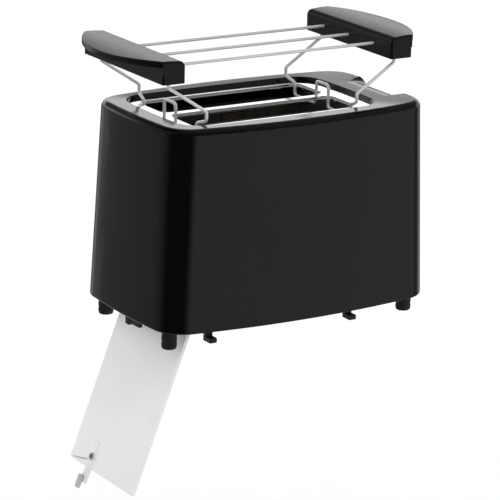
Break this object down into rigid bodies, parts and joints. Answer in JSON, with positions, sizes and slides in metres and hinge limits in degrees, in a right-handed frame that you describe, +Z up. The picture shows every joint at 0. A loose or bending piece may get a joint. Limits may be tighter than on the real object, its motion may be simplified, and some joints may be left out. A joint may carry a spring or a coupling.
{
  "type": "toaster",
  "caption": "Bread toaster with a rounded black casing, bright metal top with long bread slots, raised wire warming rack with end handles, end lever and dial, and a crumb flap hanging open.",
  "frame": {"origin": "middle of the plane of the feet's undersides", "axes": "+X along the body from the cord-clip end to the lever end, +Y from the front face to the back face, +Z up; the crumb flap hangs below the origin"},
  "size_m": [0.2823, 0.1539, 0.35],
  "materials": {
    "casing_plastic": "satin black moulding",
    "chrome_sheet": "bright plate",
    "chrome_wire": "bright plate",
    "flap_steel": "satin sheet",
    "leaf_steel": "satin spring strip",
    "rivet_steel": "satin",
    "tab_plastic": "matte grey",
    "rack_plastic": "fine matte dark grey",
    "base_plastic": "matte black",
    "foot_rubber": "matte",
    "zinc_steel": "zinc plated",
    "chamber_sheet": "dull sheet",
    "mica": "dull mica",
    "heating_ribbon": "dull",
    "lift_plastic": "natural",
    "coil_copper": "lacquered wire",
    "board_laminate": "laminate",
    "switch_plastic": "matte",
    "knob_plastic": "satin",
    "lead_sleeve": "matte sleeve"
  },
  "bodies": {
    "toaster": {"housing": "casing_plastic", "deck_plate": "chrome_sheet", "base_plate": "base_plastic", "feet": "foot_rubber", "base_screws": "zinc_steel", "control_chassis_plate": "zinc_steel", "rear_chassis_plate": "zinc_steel", "chassis_screws": "zinc_steel", "reflector_front": "chamber_sheet", "reflector_back": "chamber_sheet", "heater_board_front": "mica", "heater_board_middle": "mica", "heater_board_back": "mica", "heater_ribbon_front": "heating_ribbon", "heater_ribbon_middle": "heating_ribbon", "heater_ribbon_back": "heating_ribbon", "guard_front_outer": "chrome_wire", "guard_front_inner": "chrome_wire", "guard_back_inner": "chrome_wire", "guard_back_outer": "chrome_wire", "guide_rod": "zinc_steel", "rod_bracket": "zinc_steel", "lift_spring": "zinc_steel", "magnet_core": "zinc_steel", "magnet_coil": "coil_copper", "circuit_board": "board_laminate", "button_switches": "switch_plastic", "dial_potentiometer": "switch_plastic", "cord_inlet": "foot_rubber", "terminal_block": "lift_plastic", "inner_leads": "lead_sleeve", "flap_pin": "zinc_steel"},
    "carriage": {"lifter_front": "zinc_steel", "lifter_back": "zinc_steel", "carriage": "zinc_steel", "carriage_bush": "lift_plastic", "lever_arm": "zinc_steel", "lever_knob": "knob_plastic", "armature": "zinc_steel"},
    "flap": {"crumb_flap": "flap_steel", "latch_leaf": "leaf_steel", "latch_rivet": "rivet_steel", "latch_tab": "tab_plastic"},
    "dial": {"browning_dial": "knob_plastic", "dial_spindle": "zinc_steel"},
    "cancel_button": {"cancel_button": "knob_plastic"},
    "reheat_button": {"reheat_button": "knob_plastic"},
    "defrost_button": {"defrost_button": "knob_plastic"},
    "rack": {"rack_handle_left": "rack_plastic", "rack_handle_right": "rack_plastic", "rack_cap_left": "rack_plastic", "rack_cap_right": "rack_plastic", "rack_wire_front": "chrome_wire", "rack_wire_middle": "chrome_wire", "rack_wire_back": "chrome_wire", "rack_leg_left": "chrome_wire", "rack_leg_right": "chrome_wire", "rack_screws": "zinc_steel"}
  },
  "joints": [
    {"name": "carriage_slide", "type": "slide", "parent": "toaster", "child": "carriage", "axis": [0, 0, -1], "range_m": [0, 0.055], "stiffness_N_per_m": 40, "springref_m": -0.06, "deforming": ["lift_spring"]},
    {"name": "crumb_flap_hinge", "type": "hinge", "parent": "toaster", "child": "flap", "pos_m": [-0.0855, 0, 0.014], "axis": [0, 1, 0], "range_deg": [-111, 0]},
    {"name": "browning_dial_turn", "type": "hinge", "parent": "toaster", "child": "dial", "pos_m": [0.1197, 0, 0.043], "axis": [-1, 0, 0], "range_deg": [0, 270]},
    {"name": "cancel_press", "type": "slide", "parent": "toaster", "child": "cancel_button", "axis": [-1, 0, 0], "range_m": [0, 0.002], "stiffness_N_per_m": 400, "springref_m": -0.001},
    {"name": "reheat_press", "type": "slide", "parent": "toaster", "child": "reheat_button", "axis": [-1, 0, 0], "range_m": [0, 0.002], "stiffness_N_per_m": 400, "springref_m": -0.001},
    {"name": "defrost_press", "type": "slide", "parent": "toaster", "child": "defrost_button", "axis": [-1, 0, 0], "range_m": [0, 0.002], "stiffness_N_per_m": 400, "springref_m": -0.001},
    {"name": "rack_lift_off", "type": "slide", "parent": "toaster", "child": "rack", "axis": [0, 0, 1], "range_m": [0, 0.09]}
  ]
}
